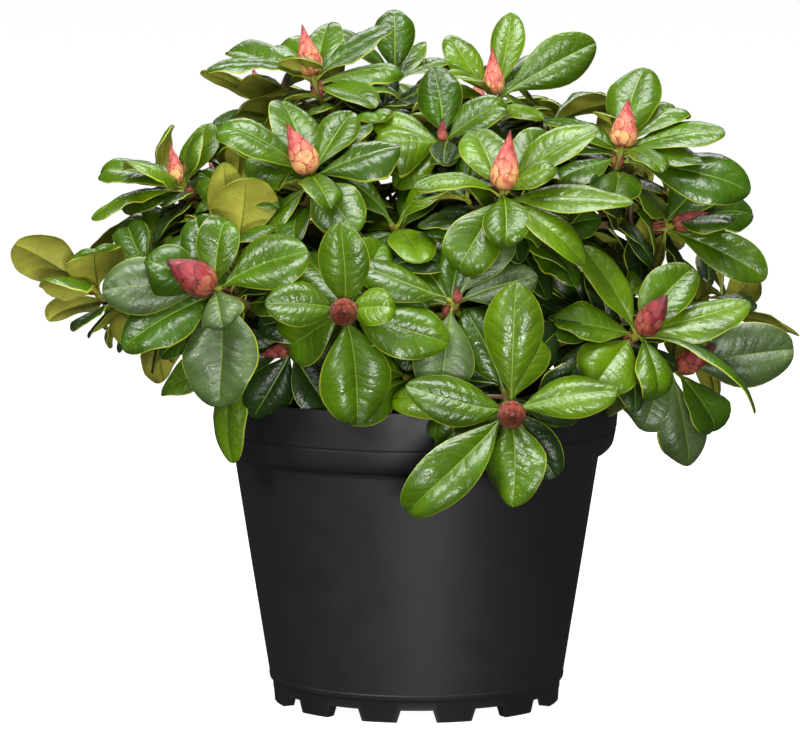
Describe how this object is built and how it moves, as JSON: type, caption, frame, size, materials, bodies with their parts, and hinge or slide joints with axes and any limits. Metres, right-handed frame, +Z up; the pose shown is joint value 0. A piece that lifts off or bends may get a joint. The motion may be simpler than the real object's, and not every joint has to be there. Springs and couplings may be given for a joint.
{
  "type": "potted rhododendron",
  "caption": "Young evergreen rhododendron shrub with glossy leaves in whorls and pointed winter buds, standing in a round tapered plastic nursery pot of compost.",
  "frame": {"origin": "on the floor, under the middle of the object's box; the pot's axis stands on it", "axes": "+Z up along the pot's axis; the plant's front faces -Y; +X is to the right as seen from the front"},
  "size_m": [0.4479, 0.3331, 0.3954],
  "materials": {
    "pot": "matt black, finely textured",
    "compost": "loose, fibrous, dark reddish brown",
    "bark": "thin grey-brown bark",
    "foliage": "leathery, glossy on top"
  },
  "bodies": {
    "root": {"pot": "pot", "compost": "compost", "trunk": "bark", "bough_front": "bark", "bough_front_low": "bark", "bough_left": "bark", "bough_far_left": "bark", "bough_upper_left": "bark", "bough_top_left": "bark", "bough_top_right": "bark", "bough_upper_front": "bark", "bough_upper_right": "bark", "bough_right": "bark", "bough_back_right": "bark", "bough_back": "bark", "bough_back_left": "bark", "foliage_front": "foliage", "foliage_front_low": "foliage", "foliage_left": "foliage", "foliage_far_left": "foliage", "foliage_upper_left": "foliage", "foliage_top_left": "foliage", "foliage_top_right": "foliage", "foliage_upper_front": "foliage", "foliage_upper_right": "foliage", "foliage_right": "foliage", "foliage_back_right": "foliage", "foliage_back": "foliage", "foliage_back_left": "foliage"}
  },
  "joints": []
}
